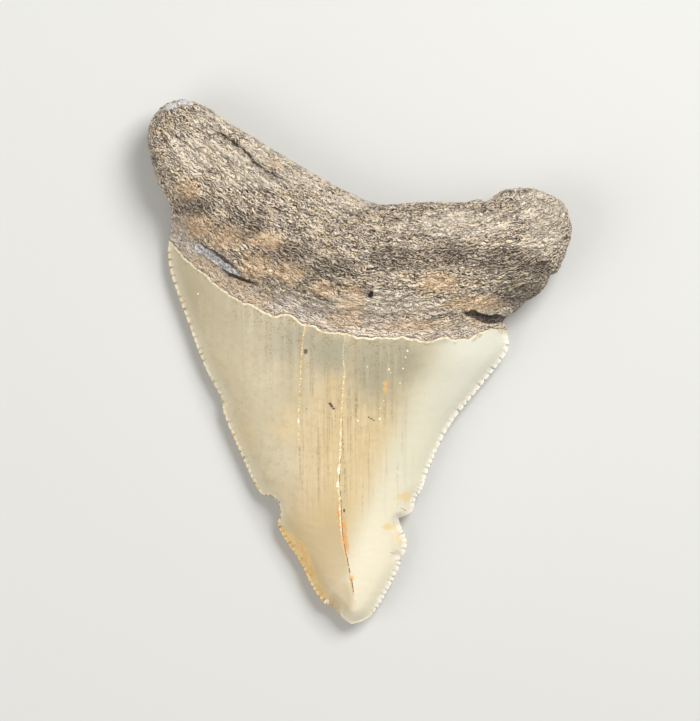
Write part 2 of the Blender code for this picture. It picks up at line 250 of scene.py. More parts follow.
def root_heights(places):
    """The root's two faces, the domed one with its boss and the flat one with its arch."""
    from_rim, *_ = root_rim(places)
    flow = bar_places(places)
    relief = sum(height * noise_at(flow, *shape) for height, *shape in LUMPS)
    relief = relief * rounded(from_rim, LUMP_MARGIN)
    boss = BOSS_SWELL * hill(places, BOSS_CENTRE, BOSS_SPREAD)
    arch = ARCH_RISE * hill(places, ARCH_CENTRE, ARCH_SPREAD)
    over = RIM_HEIGHT + EDGE_THICKNESS / 2 + relief
    over += (LOBE_SWELL + boss) * rounded(from_rim, LOBE_ROUNDING)
    under = RIM_HEIGHT - EDGE_THICKNESS / 2 - relief
    under -= (UNDER_SWELL - arch) * rounded(from_rim, UNDER_ROUNDING)
    return over, under


# Neck, cracks and scars. The enamel ends in a thin proud lip above the root. Drying and burial
# left cracks down the blade, a long split in the root, a flaked hollow and an open cleft.

NECK_BLEND = (-0.6, 6.5)
ENAMEL_STEP = 0.25
STEP_WIDTH = 0.2
TROUGH_DEPTH = 0.3
TROUGH_CENTRE = 1.4
TROUGH_SPREAD = 1.2
NECK_WOBBLE = 0.13
RIM_MARGIN = 1.2

INNER_NECK = ((-23.6, 15.2), (-22.2, 14.0), (-21.3, 12.9), (-20.4, 12.0), (-18.6, 10.6),
              (-16.6, 8.9), (-14.7, 7.6), (-12.4, 6.6), (-11.4, 6.0), (-10.1, 5.4), (-9.5, 5.7),
              (-8.6, 5.7), (-7.7, 5.3), (-6.8, 4.6), (-5.5, 4.4), (-4.2, 3.7), (-1.7, 3.4),
              (0.0, 3.0), (2.1, 2.9), (4.3, 2.9), (5.2, 3.1), (6.4, 2.7), (8.7, 2.5),
              (10.3, 3.0), (11.2, 2.7), (12.9, 2.8), (13.6, 3.1), (14.7, 3.7), (16.4, 4.0),
              (18.4, 3.6))
OUTER_NECK = ((-23.8, 15.4), (-20.6, 14.6), (-13.5, 11.9), (-6.5, 9.7), (-1.6, 7.2), (2.6, 8.0),
              (8.8, 8.2), (14.6, 6.2), (18.6, 3.6))

# Each cut is a route, then its depth, its half width and how far it wavers from side to side.
CUTS = {
    "flake_scar": (((-20.5, 14.1), (-18.9, 13.4), (-17.3, 12.4), (-15.8, 11.2), (-14.5, 10.2)),
                   0.6, 0.66, 0.06),
    "scar_line": (((-16.8, 11.5), (-15.6, 10.6), (-14.1, 9.9), (-12.0, 9.1)), 0.3, 0.15, 0.08),
    "root_furrow": (((-19.4, 28.8), (-16.6, 27.3), (-14.2, 25.6), (-12.2, 23.7), (-9.6, 22.0), (-6.6, 20.8)),
                    0.16, 0.45, 0.12),
    "root_crack": (((-18.3, 28.1), (-16.6, 27.3), (-14.2, 25.6), (-12.2, 23.7), (-9.6, 22.0), (-7.3, 21.0)),
                   0.25, 0.13, 0.12),
    "neck_cleft": (((12.4, 5.9), (13.9, 5.6), (15.4, 5.1), (18.6, 5.2)), 0.6, 0.5, 0.1),
    "foramen": (((1.2, 7.6), (1.5, 8.5)), 0.45, 0.17, 0.0),
    "middle_crack": (((-1.7, 3.4), (-2.0, 0.9), (-1.8, -1.2), (-2.1, -5.0), (-2.3, -11.0),
                      (-2.5, -13.8), (-2.3, -17.5), (-2.1, -21.0), (-1.5, -24.0), (-0.8, -27.7)),
                     0.1, 0.13, 0.04),
    "left_crack": (((-6.4, 4.6), (-6.8, 2.2), (-7.1, -3.0), (-7.3, -7.6), (-7.2, -11.4)),
                   0.05, 0.11, 0.04),
    "upper_chip_crack": (((4.9, -17.4), (5.7, -17.8), (6.3, -18.2)), 0.08, 0.15, 0.02),
    "lower_chip_crack": (((3.7, -22.8), (4.5, -23.0), (5.1, -23.3)), 0.08, 0.15, 0.02),
}


def wavering(points, reach):
    """A line through the points that wavers from side to side, with small nicks along it."""
    line = smooth_line(points, 0.1)
    nicks = noise_at(line, 0.9, 0.9, 5.5) + 0.7 * noise_at(line, 0.3, 0.3, 1.5)
    return line + inward(line) * (reach * nicks)[:, None]


cut_lines = {name: wavering(route, reach) for name, (route, _, _, reach) in CUTS.items()}
cut_rulers = {name: ruler(line) for name, line in cut_lines.items()}
inner_neck_line = wavering(INNER_NECK, NECK_WOBBLE)
outer_neck_line = wavering(OUTER_NECK, NECK_WOBBLE)
inner_neck = ruler(inner_neck_line)
outer_neck = ruler(outer_neck_line)


def above_neck(places, neck):
    """How far each place lies on the root's side of the foot of the enamel."""
    distance, side, _ = neck(places)
    return distance * side


def cut_profile(name, places):
    """How deep one cut is at each place, from 0 beside it to 1 in its middle."""
    distance, _, along = cut_rulers[name](places)
    length = np.hypot(*np.diff(cut_lines[name], axis=0).T).sum()
    taper = np.sin(np.pi * np.clip(along / length, 0.03, 0.97)) ** 0.5
    return taper * np.clip(1.0 - (distance / (CUTS[name][2] * taper)) ** 2, 0.0, 1.0)


def face_heights(places):
    """The two faces of the whole tooth: blade and root joined, then stepped and cut."""
    blade_over, blade_under = blade_heights(places)
    root_over, root_under = root_heights(places)
    above_inner = above_neck(places, inner_neck)
    above_outer = above_neck(places, outer_neck)
    inside = smoothstep(rim_ruler(places)[0], 0.0, RIM_MARGIN)
    over = blade_over + (root_over - blade_over) * smoothstep(above_inner, *NECK_BLEND)
    under = blade_under + (root_under - blade_under) * smoothstep(above_outer, *NECK_BLEND)
    trough = TROUGH_DEPTH * np.exp(-(((above_inner - TROUGH_CENTRE) / TROUGH_SPREAD) ** 2))
    over -= trough * inside
    over -= ENAMEL_STEP * smoothstep(above_inner, 0.0, STEP_WIDTH) * inside
    under += ENAMEL_STEP * smoothstep(above_outer, 0.0, STEP_WIDTH) * inside
    for name, (_, depth, _, _) in CUTS.items():
        over -= depth * cut_profile(name, places) * inside
    return over, np.maximum(under, 0.0)


# Marks. Small pits, white mineral beads and iron spots on the enamel, each an oval given as its
# middle and its two half sizes, and wider marks that fade out on the enamel and on the root: stains,
# and some painted light and shade.

SMALL_MARKS = {
    "white_bead": ((-2.5, -12.9, 0.15, 0.5), (-2.6, -14.6, 0.17, 0.4), (-3.95, -28.85, 0.36, 0.3),
                   (5.7, 1.3, 0.13, 0.16),
                   (5.5, 0.55, 0.09, 0.14), (5.2, -0.8, 0.08, 0.1), (4.85, -2.5, 0.1, 0.1),
                   (3.5, -0.85, 0.1, 0.12), (3.7, -1.3, 0.08, 0.08), (2.4, -6.8, 0.13, 0.13),
                   (-0.2, -7.0, 0.13, 0.13), (-19.4, 8.2, 0.14, 0.14), (-7.3, -7.0, 0.12, 0.35),
                   (2.4, -5.5, 0.08, 0.12), (0.9, -0.6, 0.07, 0.09), (2.9, -4.6, 0.07, 0.1)),
    "iron_spot": ((3.05, -2.55, 0.26, 0.34), (3.05, -3.3, 0.24, 0.42), (-0.98, -25.9, 0.3, 0.34)),
    "dark_pit": ((-3.5, -5.0, 0.24, 0.17), (-3.3, -5.25, 0.2, 0.18), (-3.1, -5.55, 0.16, 0.16),
                 (-6.45, 1.25, 0.24, 0.34), (-7.3, -5.7, 0.1, 0.1), (1.1, -6.6, 0.13, 0.1),
                 (1.45, -6.8, 0.16, 0.09), (1.7, -6.95, 0.1, 0.09), (-1.85, -17.8, 0.13, 0.22),
                 (-6.3, -5.6, 0.07, 0.07), (14.75, -2.2, 0.15, 0.13), (-1.9, -4.9, 0.09, 0.09)),
}
WIDE_STAINS_AND_PAINTED_LIGHT = {
    "grey_green": ((-3.6, 1.0, 2.8, 2.8), (2.0, -1.0, 3.4, 4.8), (4.4, 0.2, 2.9, 3.6),
                   (-7.6, 2.4, 3.0, 2.6), (8.8, 2.9, 3.0, 0.9)),
    # Khaki painted shade on the left shoulder and left of the middle.
    "khaki_painted_shade": ((-20.2, 6.5, 1.8, 4.5), (-7.5, -2.0, 2.0, 5.0)),
    # Tan painted shade on the left facet of the tip and above it.
    "tip_painted_shade": ((-2.2, -28.4, 1.5, 2.6), (-3.4, -23.5, 2.4, 4.5)),
    "yellow_tint": ((5.3, -16.2, 1.0, 0.8), (3.7, -19.8, 1.2, 0.4), (5.0, -20.8, 0.8, 1.4)),
    "warm_glow": ((-3.4, -2.4, 0.9, 1.3), (-9.2, -7.4, 2.0, 2.8), (-3.6, -10.5, 1.0, 4.5),
                  (-14.5, -9.5, 2.0, 3.0)),
    "ochre_patch": ((-19.6, 16.2, 2.6, 1.6), (-16.0, 14.8, 2.6, 1.5), (-18.6, 11.9, 2.4, 1.1),
                    (-15.4, 9.3, 2.8, 1.2), (-12.2, 7.4, 2.4, 0.8), (-18.4, 11.4, 2.4, 1.2),
                    (-8.6, 10.6, 2.2, 1.4), (-4.3, 8.6, 1.6, 1.0), (-0.8, 7.3, 1.6, 2.0),
                    (-12.3, 11.4, 2.0, 1.8), (13.6, 6.9, 3.6, 0.9), (9.4, 9.3, 2.6, 1.4),
                    (-9.9, 23.6, 1.0, 0.5), (-20.6, 20.4, 1.6, 1.4), (13.9, 4.8, 1.0, 0.5),
                    (7.0, 4.3, 5.0, 0.7), (-11.0, 14.4, 2.4, 1.2), (-1.5, 5.0, 3.0, 1.0)),
    "grey_patch": ((-21.8, 15.9, 1.3, 1.9), (-5.6, 6.2, 2.6, 0.9), (-9.3, 7.4, 1.8, 0.8),
                   (1.2, 5.2, 1.4, 0.9)),
    # Painted shade in a band across the lower middle of the root and its lobes.
    "painted_shade_band": ((-14.3, 15.8, 4.0, 2.0), (-9.0, 13.0, 4.0, 1.8), (-3.5, 11.0, 4.0, 1.6),
                  (4.0, 12.4, 4.0, 1.6), (10.9, 12.8, 4.0, 1.8), (17.0, 12.0, 5.0, 1.8),
                  (20.5, 11.0, 3.0, 1.8), (20.0, 8.0, 4.0, 2.0),
                  (-19.5, 18.5, 3.0, 1.5)),
    # Painted light along the upper margin of the root, on the lobe tops and by the neck.
    "painted_light_patch": ((22.0, 18.5, 3.0, 2.4), (-17.0, 29.0, 3.0, 1.2), (-12.2, 24.6, 4.0, 1.9),
                   (-6.0, 22.3, 4.0, 1.3), (-13.0, 21.6, 4.0, 1.0), (-1.0, 19.2, 3.0, 1.0),
                   (12.0, 16.5, 6.0, 1.4), (-19.0, 25.0, 3.0, 2.0),
                   (2.0, 6.8, 6.5, 1.6), (22.0, 15.5, 2.5, 2.5)),
    "white_crust": ((-22.5, 30.6, 0.7, 0.4), (-21.2, 31.1, 0.8, 0.35), (-20.2, 31.0, 0.4, 0.2)),
}


def around_marks(marks):
    """Two rings of points round each small mark, and one in its middle."""
    turns = np.linspace(0.0, 2 * np.pi, 8, endpoint=False)
    ring = np.column_stack([np.cos(turns), np.sin(turns)])
    rings = np.vstack([[0.0, 0.0], ring * 0.5, ring * 1.1])
    return np.vstack([rings * (a, b) + (x, y) for x, y, a, b in marks])


def marked(places, marks):
    """1 in the middle of the nearest mark, 0 on its outline and falling further away."""
    offsets = [np.hypot((places[:, 0] - x) / a, (places[:, 1] - y) / b) for x, y, a, b in marks]
    return 1.0 - np.minimum(np.min(offsets, axis=0), 3.0)


def softly_marked(places, marks):
    """The strongest of several soft marks at each place: stains, painted light and painted shade."""
    return np.max([hill(places, (x, y), (a, b)) for x, y, a, b in marks], axis=0)


# Body mesh. Both faces are laid out as fine triangles in plan, with rows of points along the rim,
# the neck and the cracks, and are lifted to their heights. A narrow wall joins them at the rim.

ROOT_STEP = 0.16
BLADE_STEP = 0.27
OUTER_STEP = 0.34
WALL_ROWS = 4

# Rows of points follow the rim at these depths: two close ones, then equal turns of the root's
# rounding, so that its steep part is as smooth as the rest.
RIM_ROWS = (0.05, 0.12, *(LOBE_ROUNDING * (1.0 - np.cos(np.radians(turn))) for turn in range(3, 37, 3)))


def clear_of_rim(places, clearance):
    distance, side, _ = rim_ruler(places)
    return places[(side > 0) & (distance >= clearance)]


def lattice(step):
    """Rows of points a step apart, every other row shifted by half a step."""
    low, high = rim.min(axis=0), rim.max(axis=0)
    rows = np.arange(low[1], high[1], step * np.sqrt(3) / 2)
    columns = np.arange(low[0], high[0], step)
    x, y = np.meshgrid(columns, rows)
    x[1::2] += step / 2
    return np.column_stack([x.ravel(), y.ravel()])


def face_plan(neck_line, guides, step, fields):
    """Points of one face, rim first, and its triangles, which keep to the foot of the enamel."""
    neck_line = clear_of_rim(neck_line, 0.08)
    points = neck_line
    for guide, gap in guides:
        guide = clear_of_rim(guide, 0.06)
        points = np.vstack([points, guide[gap_to(guide, points) >= gap]])
    for depth in RIM_ROWS:
        ring = clear_of_rim(closed_rim + inward(closed_rim) * depth, 0.8 * depth)
        ring = ring[::max(1, round(step / RIM_STEP * 0.8))]
        points = np.vstack([points, ring[gap_to(ring, points) >= min(depth, step) * 0.55]])
    for field_step, keep in fields:
        field = clear_of_rim(lattice(field_step), 0.2)
        field = field[keep(field)]
        points = np.vstack([points, field[gap_to(field, points) >= field_step * 0.6]])
    points = np.vstack([rim, points])
    count = len(rim)
    edges = [(i, (i + 1) % count) for i in range(count)]
    edges += [(count + i, count + i + 1) for i in range(len(neck_line) - 1)
              if np.hypot(*(neck_line[i + 1] - neck_line[i])) < 0.3]
    keep_inside = 1
    plan, _, faces, *_ = delaunay_2d_cdt([Vector(p) for p in points], edges, [], keep_inside, 1e-7)
    return np.array(plan), np.array(faces)


def guide_rows(line, offsets, gap):
    return [(line + inward(line) * offset, gap) for offset in offsets]


inner_guides = guide_rows(inner_neck_line, (0.09, 0.2, -0.09, -0.2), 0.07)
for name in ("middle_crack", "left_crack", "upper_chip_crack", "lower_chip_crack"):
    inner_guides += guide_rows(cut_lines[name], (0.0, -0.07, 0.07, -0.14, 0.14, -0.22, 0.22), 0.055)
for name in ("root_crack", "scar_line", "foramen"):
    inner_guides += guide_rows(cut_lines[name], (0.0, -0.1, 0.1, -0.2, 0.2), 0.08)
inner_guides += [(around_marks(marks), 0.05) for marks in SMALL_MARKS.values()]
inner_fields = ((ROOT_STEP, lambda field: above_neck(field, inner_neck) > 0.1),
                (BLADE_STEP, lambda field: above_neck(field, inner_neck) <= 0.1))
inner_plan, inner_faces = face_plan(inner_neck_line, inner_guides, ROOT_STEP, inner_fields)
outer_guides = guide_rows(outer_neck_line, (0.1, 0.2), 0.08)
outer_fields = ((OUTER_STEP, lambda field: np.full(len(field), True)),)
outer_plan, outer_faces = face_plan(outer_neck_line, outer_guides, OUTER_STEP, outer_fields)
inner_height, _ = face_heights(inner_plan)
_, outer_height = face_heights(outer_plan)

count = len(rim)
wall_shares = np.arange(1, WALL_ROWS) / WALL_ROWS
wall_heights = [inner_height[:count] * (1 - s) + outer_height[:count] * s for s in wall_shares]
plan = np.vstack([inner_plan, outer_plan, *[rim] * len(wall_heights)])
height = np.concatenate([inner_height, outer_height, *wall_heights])
is_outer = np.concatenate([np.zeros(len(inner_plan)), np.ones(len(outer_plan)),
                           np.repeat(wall_shares, count)])
wall_starts = [len(inner_plan) + len(outer_plan) + count * row for row in range(len(wall_heights))]
levels = [0, *wall_starts, len(inner_plan)]
here = np.arange(count)
after = (here + 1) % count
walls = [np.column_stack([low + here, low + after, high + after, high + here])
         for high, low in zip(levels, levels[1:])]
faces = [*inner_faces.tolist(), *(outer_faces[:, ::-1] + len(inner_plan)).tolist(),
         *np.vstack(walls).tolist()]

body_mesh = bpy.data.meshes.new("fossil_tooth")
body_mesh.from_pydata(np.column_stack([plan, height]) * MM, [], faces)
body_mesh.shade_smooth()
tooth = bpy.data.objects.new("fossil_tooth", body_mesh)
bpy.context.scene.collection.objects.link(tooth)


def keep_value(name, values):
    """Store a number or a vector for each vertex, for the surface detail and the materials."""
    kind = "FLOAT" if values.ndim == 1 else "FLOAT_VECTOR"
    field = "value" if values.ndim == 1 else "vector"
    attribute = body_mesh.attributes.new(name, kind, "POINT")
    attribute.data.foreach_set(field, values.astype(np.float32).ravel())


above_inner = above_neck(plan, inner_neck)
above_outer = above_neck(plan, outer_neck)
keep_value("above_neck", above_inner * (1 - is_outer) + above_outer * is_outer)
keep_value("grain_place", np.column_stack([bar_places(plan), height]))

on_inner = 1.0 - np.minimum(is_outer * 4.0, 1.0)
for name, marks in SMALL_MARKS.items():
    keep_value(name, marked(plan, marks) * on_inner - 3.0 * (1.0 - on_inner))
for name, marks in WIDE_STAINS_AND_PAINTED_LIGHT.items():
    keep_value(name, softly_marked(plan, marks) * (1.0 - 0.6 * is_outer))
for name in CUTS:
    keep_value(name, cut_profile(name, plan) * on_inner)
    distance, side, along = cut_rulers[name](plan)
    sideways = side * (distance + 10.0 * (1.0 - on_inner))
    keep_value(name + "_place", np.column_stack([sideways, along, np.zeros(len(plan))]))

# Saw teeth. The enamel of both cutting edges is notched into small pads, 0.9 mm long near the
# root and 0.6 mm near the tip. Geometry Nodes press the notches into the rim and both faces.

SAW_PITCH_ROOT = 0.86
SAW_PITCH_TIP = 0.62
SAW_DEPTH = 0.34
SAW_GROOVE = 0.07
SAW_REACH = 0.7
PITCH_VARIATION = 0.55
SIZE_MEAN = 0.7
SIZE_VARIATION = 0.9
VARIATION_LENGTH = 1.1

edge_distance, _, rim_along = rim_ruler(plan)
passed = np.concatenate([[0.0], np.cumsum(np.hypot(*np.diff(closed_rim, axis=0).T))])
nearest_rim = np.clip(np.searchsorted(passed, rim_along), 0, len(rim) - 1)
tip_share = smoothstep(rim[:, 1], -26.0, 2.0)
pitch = SAW_PITCH_TIP + (SAW_PITCH_ROOT - SAW_PITCH_TIP) * tip_share
pitch *= 1.0 + PITCH_VARIATION * noise_at(rim, VARIATION_LENGTH, VARIATION_LENGTH, 3.3)
rim_phase = np.cumsum(np.diff(passed) / pitch)

# The notches fade out beside the broken stretches. They are worn away at the tip, and a little
# shallower on the left side.
has_saw = (rim_kind == "saw").astype(float)
saw_ends = np.convolve(np.concatenate([has_saw[-6:], has_saw, has_saw[:6]]), np.ones(13) / 13, "valid")
saw_size = SIZE_MEAN + SIZE_VARIATION * noise_at(rim, VARIATION_LENGTH, VARIATION_LENGTH, 8.8)
saw_size *= smoothstep(saw_ends, 0.5, 1.0)
saw_size *= smoothstep(rim[:, 1], -30.8, -28.8) * np.where(rim[:, 0] < -0.9, 0.85, 1.0)
keep_value("edge_distance", edge_distance)
keep_value("saw_phase", rim_phase[nearest_rim])
keep_value("saw_size", saw_size[nearest_rim])
keep_value("edge_inward", np.column_stack([inward(closed_rim)[:-1], np.zeros(len(rim))])[nearest_rim])

# The ochre stain along the lower left edge, as a width at each height, and the broken edges.
stain_heights = (-30.2, -29.0, -25.5, -22.0, -20.4, -19.2)
stain_width = np.interp(plan[:, 1], stain_heights, (0.0, 0.9, 1.3, 1.6, 1.0, 0.0))
keep_value("edge_stain", np.where(plan[:, 0] < -2.0, stain_width, -3.0) - edge_distance)
broken_gap = gap_to(plan, np.vstack([line for kind, line in runs if kind == "broken"]))
keep_value("broken_edge", 1.0 - np.minimum(broken_gap, 1.0))


def add(tree, kind, inputs=(), out=0, **settings):
    """Add a node with its settings, fill its inputs with numbers or links, and give one output."""
    made = tree.nodes.new(kind)
    for name, value in settings.items():
        setattr(made, name, value)
    for socket, value in dict(inputs).items():
        if isinstance(value, bpy.types.NodeSocket):
            tree.links.new(value, made.inputs[socket])
        else:
            made.inputs[socket].default_value = value
    return made.outputs[out] if made.outputs else made


def surface_tree(name, sizes):
    """A Geometry Nodes tree with one geometry input and a named number for each size."""
    tree = bpy.data.node_groups.new(name, "GeometryNodeTree")
    tree.interface.new_socket("Geometry", in_out="INPUT", socket_type="NodeSocketGeometry")
    for label, value in sizes.items():
        socket = tree.interface.new_socket(label, in_out="INPUT", socket_type="NodeSocketFloat")
        socket.default_value = value
    tree.interface.new_socket("Geometry", in_out="OUTPUT", socket_type="NodeSocketGeometry")
    return tree, tree.nodes.new("NodeGroupInput").outputs


saw_sizes = {"Notch Depth": SAW_DEPTH * MM, "Groove Depth": SAW_GROOVE * MM, "Groove Reach": SAW_REACH}
saw_tree, given = surface_tree("saw_teeth", saw_sizes)
phase, size, depth_in = (add(saw_tree, "GeometryNodeInputNamedAttribute", {"Name": name})
                         for name in ("saw_phase", "saw_size", "edge_distance"))
direction = add(saw_tree, "GeometryNodeInputNamedAttribute", {"Name": "edge_inward"},
                data_type="FLOAT_VECTOR")
turn = add(saw_tree, "ShaderNodeMath", {0: phase, 1: np.pi}, operation="MULTIPLY")
wave = add(saw_tree, "ShaderNodeMath", {0: turn}, operation="SINE")
crest = add(saw_tree, "ShaderNodeMath", {0: wave}, operation="ABSOLUTE")
notch = add(saw_tree, "ShaderNodeMapRange", {0: crest, 1: 0.06, 2: 0.5, 3: 1.0, 4: 0.0},
            interpolation_type="SMOOTHSTEP")
notch = add(saw_tree, "ShaderNodeMath", {0: notch, 1: size}, operation="MULTIPLY")
near_rim = add(saw_tree, "ShaderNodeMapRange", {0: depth_in, 1: 0.0, 2: 0.45, 3: 1.0, 4: 0.0},
               interpolation_type="SMOOTHSTEP")
near_face = add(saw_tree, "ShaderNodeMapRange",
                {0: depth_in, 1: 0.0, 2: given["Groove Reach"], 3: 1.0, 4: 0.0})
push = add(saw_tree, "ShaderNodeMath", {0: notch, 1: near_rim}, operation="MULTIPLY")
push = add(saw_tree, "ShaderNodeMath", {0: push, 1: given["Notch Depth"]}, operation="MULTIPLY")
press = add(saw_tree, "ShaderNodeMath", {0: notch, 1: near_face}, operation="MULTIPLY")
press = add(saw_tree, "ShaderNodeMath", {0: press, 1: given["Groove Depth"]}, operation="MULTIPLY")
press = add(saw_tree, "ShaderNodeMath", {0: press, 1: -1.0}, operation="MULTIPLY")
normal = add(saw_tree, "GeometryNodeInputNormal")
push = add(saw_tree, "ShaderNodeVectorMath", {0: direction, "Scale": push}, operation="SCALE")
press = add(saw_tree, "ShaderNodeVectorMath", {0: normal, "Scale": press}, operation="SCALE")
shift = add(saw_tree, "ShaderNodeVectorMath", {0: push, 1: press}, operation="ADD")
moved = add(saw_tree, "GeometryNodeSetPosition", {"Geometry": given["Geometry"], "Offset": shift})
stored = add(saw_tree, "GeometryNodeStoreNamedAttribute",
             {"Geometry": moved, "Name": "saw_notch", "Value": notch}, data_type="FLOAT", domain="POINT")
solid = add(saw_tree, "GeometryNodeRealizeInstances", {"Geometry": stored})
add(saw_tree, "NodeGroupOutput", {"Geometry": solid})

# Root grain. Weathering opened the pores of the dentine into worm-like pits and ridges, 0.8 to 2 mm
# long and drawn out along the bar. Geometry Nodes press them into the root's surface.

GRAIN = {
    "Ridge Length": 1.9, "Ridge Width": 0.62, "Ridge Depth": 0.2 * MM,
    "Grain Length": 0.8, "Grain Width": 0.34, "Grain Depth": 0.14 * MM, "Warp": 0.5, "Seed": 4.0,
}
grain_tree, given = surface_tree("root_grain", GRAIN)
place = add(grain_tree, "GeometryNodeInputNamedAttribute", {"Name": "grain_place"},
            data_type="FLOAT_VECTOR")
above_value, from_rim = (add(grain_tree, "GeometryNodeInputNamedAttribute", {"Name": name})
                         for name in ("above_neck", "edge_distance"))
share = add(grain_tree, "ShaderNodeMapRange", {0: above_value, 1: 0.15, 2: 2.2, 3: 0.1, 4: 1.0},
            interpolation_type="SMOOTHSTEP")
share_at_rim = add(grain_tree, "ShaderNodeMapRange", {0: from_rim, 1: 0.0, 2: 0.9, 3: 0.3, 4: 1.0})
share = add(grain_tree, "ShaderNodeMath", {0: share, 1: share_at_rim}, operation="MULTIPLY")
bend = add(grain_tree, "ShaderNodeTexNoise", {"Vector": place, "Scale": 0.55, "W": given["Seed"]},
           out="Color", noise_dimensions="4D")
bend = add(grain_tree, "ShaderNodeVectorMath", {0: bend, 1: (0.5, 0.5, 0.5)}, operation="SUBTRACT")
bend = add(grain_tree, "ShaderNodeVectorMath", {0: bend, "Scale": given["Warp"]}, operation="SCALE")
bent = add(grain_tree, "ShaderNodeVectorMath", {0: place, 1: bend}, operation="ADD")
dents = []
for label in ("Ridge", "Grain"):
    cell = add(grain_tree, "ShaderNodeCombineXYZ",
               {0: given[label + " Length"], 1: given[label + " Width"], 2: given[label + " Width"]})
    spot = add(grain_tree, "ShaderNodeVectorMath", {0: bent, 1: cell}, operation="DIVIDE")
    pores = add(grain_tree, "ShaderNodeTexNoise",
                {"Vector": spot, "Scale": 1.0, "Detail": 2.0, "W": given["Seed"]}, noise_dimensions="4D")
    dent = add(grain_tree, "ShaderNodeMapRange", {0: pores, 1: 0.36, 2: 0.62, 3: -1.0, 4: 0.0},
               interpolation_type="SMOOTHSTEP")
    dents.append(add(grain_tree, "ShaderNodeMath", {0: dent, 1: given[label + " Depth"]},
                     operation="MULTIPLY"))
dent = add(grain_tree, "ShaderNodeMath", {0: dents[0], 1: dents[1]}, operation="ADD")
dent = add(grain_tree, "ShaderNodeMath", {0: dent, 1: share}, operation="MULTIPLY")
normal = add(grain_tree, "GeometryNodeInputNormal")
shift = add(grain_tree, "ShaderNodeVectorMath", {0: normal, "Scale": dent}, operation="SCALE")
moved = add(grain_tree, "GeometryNodeSetPosition", {"Geometry": given["Geometry"], "Offset": shift})
solid = add(grain_tree, "GeometryNodeRealizeInstances", {"Geometry": moved})


# Enamel. Hard, smooth and satin, stained cream and grey-green by the sediment, paler at the thin
# edges, with fine brown lines down the middle, orange iron stains and white pads on the saw teeth.
# A painted sheen whitens its right flank, and painted shade darkens parts of its left.


def linear(code):
    """An sRGB hex colour as linear red, green, blue and alpha."""
    parts = np.array([int(code[i:i + 2], 16) / 255 for i in (1, 3, 5)])
    parts = np.where(parts <= 0.04045, parts / 12.92, ((parts + 0.055) / 1.055) ** 2.4)
    return (*parts, 1.0)


def coated(tree, colour, coats):
    """Lay coats of colour over a colour, in order.

    Each coat is its hex colour, its strength, then one or more (value, low, high): it shows where
    every value has passed from low to high.
    """
    for code, strength, *bands in coats:
        mask = strength
        for value, low, high in bands:
            shown = add(tree, "ShaderNodeMapRange", {0: value, 1: low, 2: high},
                        interpolation_type="SMOOTHSTEP")
            mask = add(tree, "ShaderNodeMath", {0: shown, 1: mask}, operation="MULTIPLY")
        colour = add(tree, "ShaderNodeMix", {0: mask, 6: colour, 7: linear(code)}, out=2, data_type="RGBA")
    return colour


enamel = bpy.data.materials.new("enamel")
enamel.use_nodes = True
tree = enamel.node_tree
shader = tree.nodes["Principled BSDF"]
on_blade = {name: add(tree, "ShaderNodeAttribute", attribute_name=name, out="Fac") for name in (
    "above_neck", "edge_distance", "saw_notch", "saw_size", "edge_stain", "broken_edge", "grey_green",
    "khaki_painted_shade", "tip_painted_shade", "yellow_tint", "warm_glow", *SMALL_MARKS, "upper_chip_crack",
    "lower_chip_crack")}
place = add(tree, "ShaderNodeTexCoord", out="Object")
across = add(tree, "ShaderNodeSeparateXYZ", {0: place}, out=0)
upward = add(tree, "ShaderNodeSeparateXYZ", {0: place}, out=1)
to_lower_right = add(tree, "ShaderNodeVectorMath", {0: place, 1: (1.0, -0.4, 0.0)}, out=1,
                     operation="DOT_PRODUCT")

# Each pattern has a size in millimetres across, along and through the blade. The real growth lines
# and specks are under a tenth of a millimetre, too fine to show, and are drawn at about 0.2.
textures = {}
for name, sizes, detail, roughness in (
        ("clouds", (3.85, 3.85, 3.85), 4.0, 0.5), ("blotches", (0.909, 0.909, 0.909), 3.0, 0.5),
        ("crumbs", (0.3846, 0.3846, 0.3846), 3.0, 0.5), ("specks", (0.2222, 0.2222, 0.2222), 2.0, 0.5),
        ("edge_streaks", (1.25, 1.25, 1.25), 2.0, 0.5), ("fibres", (0.667, 16.67, 5.0), 4.0, 0.5),
        ("lines", (0.2381, 8.33, 3.33), 3.0, 0.7)):
    cells = add(tree, "ShaderNodeMapping", {"Vector": place, "Scale": [1 / (s * MM) for s in sizes]})
    textures[name] = add(tree, "ShaderNodeTexNoise",
                         {"Vector": cells, "Scale": 1.0, "Detail": detail, "Roughness": roughness})
clouds, blotches, crumbs, specks, edge_streaks, fibres, lines = textures.values()

# A pattern makes the outline of a stain or mark ragged, further the larger its reach.
ragged = {}
for name, texture, reach in (("grey_green", blotches, 0.5), ("yellow_tint", blotches, 1.4),
                             ("iron_spot", specks, 2.0), ("edge_stain", blotches, 0.8),
                             ("broken_edge", crumbs, 1.0), ("above_neck", blotches, 0.35),
                             ("white_bead", specks, 2.0), ("edge_distance", crumbs, 1.2),
                             ("dark_pit", crumbs, 1.5)):
    ragged[name] = add(tree, "ShaderNodeMath", {0: texture, 1: reach, 2: on_blade[name]},
                       operation="MULTIPLY_ADD")
